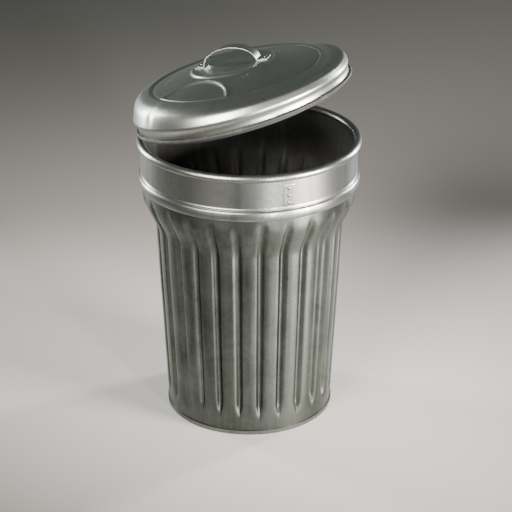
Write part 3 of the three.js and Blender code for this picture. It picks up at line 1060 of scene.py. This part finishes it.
def handle_path():
    """Flat feet, then half an ellipse, which springs from the feet in a tight bend."""
    arch = [math.radians(180 - 4 * i) for i in range(1, 45)]
    arch_points = [
        (handle_span * math.cos(a), handle_level + handle_rise * math.sin(a)) for a in arch
    ]
    left_foot = [(-foot_reach, handle_level, 0), (-handle_span - 1, handle_level, 3.5)]
    right_foot = [(handle_span + 1, handle_level, 3.5), (foot_reach, handle_level, 0)]
    first, last = arch_points[1], arch_points[-2]
    left = rounded_path([*left_foot, (*first, 0)])
    right = rounded_path([(*last, 0), *right_foot])
    return left + [Vector(p) * MM for p in arch_points[2:-2]] + right


# The handle stands on the disc, which leans with the crown.
disc_middle = Vector((0, 0, disc_z * MM))
disc_tilt = (
    Matrix.Translation(disc_middle)
    @ Matrix.Rotation(math.atan(crown_lean), 4, "X")
    @ Matrix.Translation(-disc_middle)
)
lid_handle = bent_blank(
    "strap_handle",
    evened(handle_path(), 5 * MM),
    handle_sheet,
    even_lines(handle_half_width, 8),
    lambda row, middle: True,
    zinc_lid,
    0.6 * MM,
)
lid_handle.data.transform(disc_tilt)
stand_open(lid_handle)
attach(lid_handle, "lid")
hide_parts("lid_handle")
print("handle faces", len(lid_handle.data.polygons))

# %% The hinge leaves
pin_y = pin.y / MM
pin_z = pin.z / MM
eye_radius = 3.5  # from the pin's axis to the middle of the rolled sheet
leaf_half = 24 * MM
lid_eye_half = 9 * MM
base_eye_start = 10.2 * MM
leaf_lines = [-leaf_half, -base_eye_start, -lid_eye_half, lid_eye_half, base_eye_start, leaf_half]
leaf_lines = sorted(leaf_lines + [0.0, -17 * MM, 17 * MM])

leaf_wall = leaf_sheet / MM
base_leaf_y = waist + band_sheet / MM / 2 + 1 + leaf_wall / 2
bead_y = curl_centre_r + curl_radius + band_sheet / MM / 2 + 1 + leaf_wall / 2
leaf_foot = 548
jog_low = 581  # the leaf steps out between these heights, to clear the band's roll
jog_high = 591
base_corners = [
    (base_leaf_y, leaf_foot, 0),
    (base_leaf_y, jog_low, 6),
    (bead_y, jog_high, 6),
    (bead_y, pin_z - 8, 0),
]
base_plate = evened(rounded_path(base_corners), 6 * MM)
base_eye = arc_path(pin_y, pin_z, eye_radius, 180, -100, 20)
base_line = base_plate + base_eye
plate_rows = len(base_plate) - 1


def base_covers(row, middle):
    """The plate is full; the eye is two knuckles, with the lid's between them."""
    return row < plate_rows or abs(middle) > base_eye_start


hinge_base = bent_blank(
    "can_hinge_leaf", base_line, leaf_sheet, leaf_lines, base_covers, zinc_hardware
)
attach(hinge_base, "can")
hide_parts("hinge_base_leaf")

leaf_clearance = 0.7  # between the lid and its leaf, in mm
lid_leaf_y = shoulder_radius + sheet / MM / 2 + leaf_clearance + leaf_wall / 2
lid_leaf_corners = [
    (lid_leaf_y, rim_z + 40, 0),
    (lid_leaf_y, rim_z + 20, 8),
    (pin_y - eye_radius, pin_z + 4, 3),
    (pin_y - eye_radius, pin_z + 1, 0),
]
lid_leaf_plate = evened(rounded_path(lid_leaf_corners), 5 * MM)
lid_eye = arc_path(pin_y, pin_z, eye_radius, 180, 440, 20)
lid_leaf_line = lid_leaf_plate + lid_eye
neck_z = (rim_z + 22) * MM


def lid_leaf_covers(row, middle):
    """The plate narrows under its rivets to the one knuckle in the middle."""
    below = lid_leaf_line[row + 1].y < neck_z or row >= len(lid_leaf_plate) - 1
    return abs(middle) < lid_eye_half or not below


hinge_top = stand_open(
    bent_blank(
        "lid_hinge_leaf", lid_leaf_line, leaf_sheet, leaf_lines, lid_leaf_covers, zinc_hardware
    )
)
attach(hinge_top, "lid")
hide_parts("hinge_lid_leaf")
print("hinge leaves", len(hinge_base.data.polygons), len(hinge_top.data.polygons))

# %% [markdown]
# ## Rivets
# Domed rivets hold the handle, the hinge leaves and the lap. They are all the same, so one is
# turned from its profile, and Geometry Nodes put a copy at each rivet's place, with its head
# pointing out. The places come from the boxes of the CAD rivets.

# %% One rivet and its node tree
head_height = 2.3  # of a rivet, in mm


def turned_rivet():
    """A rivet along +Z: the head's seat is at the origin, and the shank and tail are below."""
    profile = [(0, head_height)]
    for step in range(1, 7):
        a = math.radians(90 - 15 * step)
        profile.append((3.8 * math.cos(a), 0.3 + 2.0 * math.sin(a)))
    profile += [(3.8, 0.3), (2.0, 0.3), (2.0, -3.2), (3.0, -3.2), (3.0, -4.0), (2.2, -4.6), (0, -4.6)]
    builder = bmesh.new()
    steps = 24
    rings = []
    for step in range(steps):
        a = 2 * math.pi * step / steps
        ring = [
            builder.verts.new((r * MM * math.cos(a), r * MM * math.sin(a), z * MM))
            for r, z in profile
        ]
        rings.append(ring)
    for step in range(steps):
        here, ahead = rings[step], rings[(step + 1) % steps]
        for row in range(len(profile) - 1):
            builder.faces.new((here[row], here[row + 1], ahead[row + 1], ahead[row])).smooth = True
    bmesh.ops.remove_doubles(builder, verts=builder.verts, dist=0.001 * MM)
    bmesh.ops.dissolve_degenerate(builder, edges=builder.edges, dist=0.001 * MM)
    bmesh.ops.recalc_face_normals(builder, faces=builder.faces)
    mesh = bpy.data.meshes.new("one_rivet")
    builder.to_mesh(mesh)
    builder.free()
    return new_object("one_rivet", mesh)


def rivet_tree(metal, rivet):
    """Puts a rivet on every point, with its head along the point's own outward direction."""
    tree = bpy.data.node_groups.new("rivet_row", "GeometryNodeTree")
    sockets = tree.interface
    sockets.new_socket("Geometry", in_out="INPUT", socket_type="NodeSocketGeometry")
    sockets.new_socket("Rivet Size", in_out="INPUT", socket_type="NodeSocketFloat")
    sockets.new_socket("Geometry", in_out="OUTPUT", socket_type="NodeSocketGeometry")
    given = add_node(tree, "NodeGroupInput")
    outward = add_node(
        tree,
        "GeometryNodeInputNamedAttribute",
        {"data_type": "FLOAT_VECTOR"},
        {"Name": "outward"},
    )["Attribute"]
    turned = add_node(tree, "FunctionNodeAlignRotationToVector", {"axis": "Z"}, {"Vector": outward})[0]
    source = add_node(tree, "GeometryNodeObjectInfo", {}, {"Object": rivet})["Geometry"]
    placed = add_node(
        tree,
        "GeometryNodeInstanceOnPoints",
        {},
        {
            "Points": given["Geometry"],
            "Instance": source,
            "Rotation": turned,
            "Scale": given["Rivet Size"],
        },
    )[0]
    real = add_node(tree, "GeometryNodeRealizeInstances", {}, {"Geometry": placed})[0]
    finished = add_node(tree, "GeometryNodeSetMaterial", {}, {"Geometry": real, "Material": metal})[0]
    add_node(tree, "NodeGroupOutput", {}, {"Geometry": finished})
    return tree


one_rivet = turned_rivet()
row_tree = rivet_tree(zinc_hardware, one_rivet)
print("one rivet has", len(one_rivet.data.polygons), "faces")

# %% The rivets of each body
def rivet_places(names, outward):
    """Each rivet's seat: the middle of its CAD box, moved out to just under the head."""
    places = []
    for name in names:
        node = frame["nodes"][name]
        middle = sum((v.co for v in node.data.vertices), Vector()) / len(node.data.vertices)
        reach = max((v.co - middle).dot(outward) for v in node.data.vertices)
        axis_point = middle + outward * (reach - head_height * MM)
        places.append((axis_point, outward))
    return places


def riveted(name, body, places, nodes):
    """One piece with all the rivets that a body carries."""
    mesh = bpy.data.meshes.new(name + "_points")
    mesh.from_pydata([tuple(point) for point, _ in places], [], [])
    outward = mesh.attributes.new("outward", "FLOAT_VECTOR", "POINT")
    outward.data.foreach_set("vector", [c for _, direction in places for c in direction])
    worker = new_object(name + "_worker", mesh)
    modifier = worker.modifiers.new("rivets", "NODES")
    modifier.node_group = row_tree
    set_inputs(modifier, {"Rivet Size": 1.0})
    piece = made_plain(worker, name)
    keep_edges(piece, 45)
    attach(piece, body)
    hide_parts(*nodes)
    return piece


rearward = Vector((0, 1, 0))
lid_up = (lid_turn @ disc_tilt).to_3x3() @ Vector((0, 0, 1))
lid_back = lid_turn.to_3x3() @ rearward
lap_out = Vector((math.cos(lap_angle), math.sin(lap_angle), 0))

lap_rivets = [f"band_lap_rivet_{i}" for i in (1, 2, 3)]
base_rivets = [f"hinge_base_rivet_{i}" for i in (1, 2)]
handle_rivets = [f"handle_rivet_{i}" for i in (1, 2, 3, 4)]
leaf_rivets = [f"hinge_lid_rivet_{i}" for i in (1, 2)]
can_rivets = riveted(
    "can_rivets",
    "can",
    rivet_places(lap_rivets, lap_out) + rivet_places(base_rivets, rearward),
    lap_rivets + base_rivets,
)
lid_rivets = riveted(
    "lid_rivets",
    "lid",
    rivet_places(handle_rivets, lid_up) + rivet_places(leaf_rivets, lid_back),
    handle_rivets + leaf_rivets,
)
bpy.data.objects.remove(one_rivet)
print("rivet faces", len(can_rivets.data.polygons), len(lid_rivets.data.polygons))

# %% [markdown]
# ## Pieces kept from the CAD model
# The wires, the pin and the washers are plain round shapes that are already right. They only get
# their finish.

# %% Finish the kept pieces
kept_pieces = {
    "rim_wire": drawn_wire,
    "lid_edge_wire": drawn_wire,
    "hinge_pin": drawn_wire,
    "hinge_washer_1": black_rubber,
    "hinge_washer_2": black_rubber,
}
for name, finish in kept_pieces.items():
    frame["nodes"][name].data.materials.clear()
    frame["nodes"][name].data.materials.append(finish)
print("kept", sorted(kept_pieces))

# %% [markdown]
# ## Floor, light and camera
# The floor is plain and pale. Bright metal shows its surroundings, so the light is built from
# soft panels. A broad one at the right and a thin one beside it draw the upright highlights
# along the ribs and the band, a thin one behind each side picks out the wall's edges, and a
# broad one high at the left lights the lid's shoulder. Their beams are narrow and they hang
# clear of the floor, so that the floor, which the wall mirrors, is lit evenly. An even, dim
# world fills in the shadows.

# %% The floor
def pale_floor():
    """A matt floor, much wider than the view."""
    material = bpy.data.materials.new("pale_matt_floor")
    material.use_nodes = True
    tree = material.node_tree
    shader = tree.nodes["Principled BSDF"]
    shader.inputs["Base Color"].default_value = colour("#b9b7b3")
    shader.inputs["Roughness"].default_value = 0.9
    mesh = bpy.data.meshes.new("studio_floor")
    half = 6.0
    mesh.from_pydata(
        [(-half, -half, 0), (half, -half, 0), (half, half, 0), (-half, half, 0)],
        [],
        [(0, 1, 2, 3)],
    )
    mesh.materials.append(material)
    return new_object("studio_floor", mesh)


studio_floor = pale_floor()
print("floor laid")

# %% The camera
# The camera looks down at the can from its -X side and a little from the front. Distances are
# from the can's axis, in metres.
view_turn = math.radians(-72)
camera_distance = 3.693
camera_height = 2.020
aim_height = 0.3345
aim_right = 0.0143

around = Matrix.Rotation(view_turn, 4, "Z")
camera_data = bpy.data.cameras.new("studio_camera")
camera = new_object("studio_camera", camera_data)
camera.location = around @ Vector((0, -camera_distance, camera_height))
aim = around @ Vector((aim_right, 0, aim_height))
camera.rotation_mode = "QUATERNION"
camera.rotation_quaternion = (aim - camera.location).to_track_quat("-Z", "Y")
camera_data.lens = 134.3
camera_data.sensor_width = 36
camera_data.clip_end = 50
bpy.context.scene.camera = camera
print("camera is", round((aim - camera.location).length, 2), "m from its aim")

# %% The lights
def soft_panel(name, place, aim_at, size, watts, beam=180, tint="#ffffff"):
    """A rectangular area light. Its place is seen from the camera: right, away and up."""
    light = bpy.data.lights.new(name, "AREA")
    light.shape = "RECTANGLE"
    light.size, light.size_y = size
    light.energy = watts
    light.spread = math.radians(beam)
    light.color = colour(tint)[:3]
    lamp = new_object(name, light)
    lamp.location = around @ Vector(place)
    lamp.rotation_mode = "QUATERNION"
    direction = around @ Vector(aim_at) - lamp.location
    lamp.rotation_quaternion = direction.to_track_quat("-Z", "Y")
    return lamp


soft_panel("right_key_panel", (1.56, -0.98, 0.64), (0, 0, 0.4), (0.75, 0.8), 27, 60, "#fff4ee")
soft_panel("front_right_panel", (0.72, -1.65, 0.62), (0, 0, 0.4), (0.14, 0.8), 4.5, 55)
soft_panel("left_edge_panel", (-1.5, 0.9, 0.8), (0, 0, 0.4), (0.25, 1.1), 8, 65)
soft_panel("right_edge_panel", (1.5, 1.0, 0.8), (0, 0, 0.4), (0.25, 1.1), 10, 65)
soft_panel("front_left_panel", (-0.95, -1.5, 1.55), (0, 0, 0.74), (1.5, 0.9), 17, 55, "#fff6f0")

world = bpy.data.worlds.new("dim_studio")
world.use_nodes = True
world.node_tree.nodes["Background"].inputs["Color"].default_value = colour("#8a908c")
world.node_tree.nodes["Background"].inputs["Strength"].default_value = 0.42
bpy.context.scene.world = world
print("lights", sorted(light.name for light in bpy.data.lights))
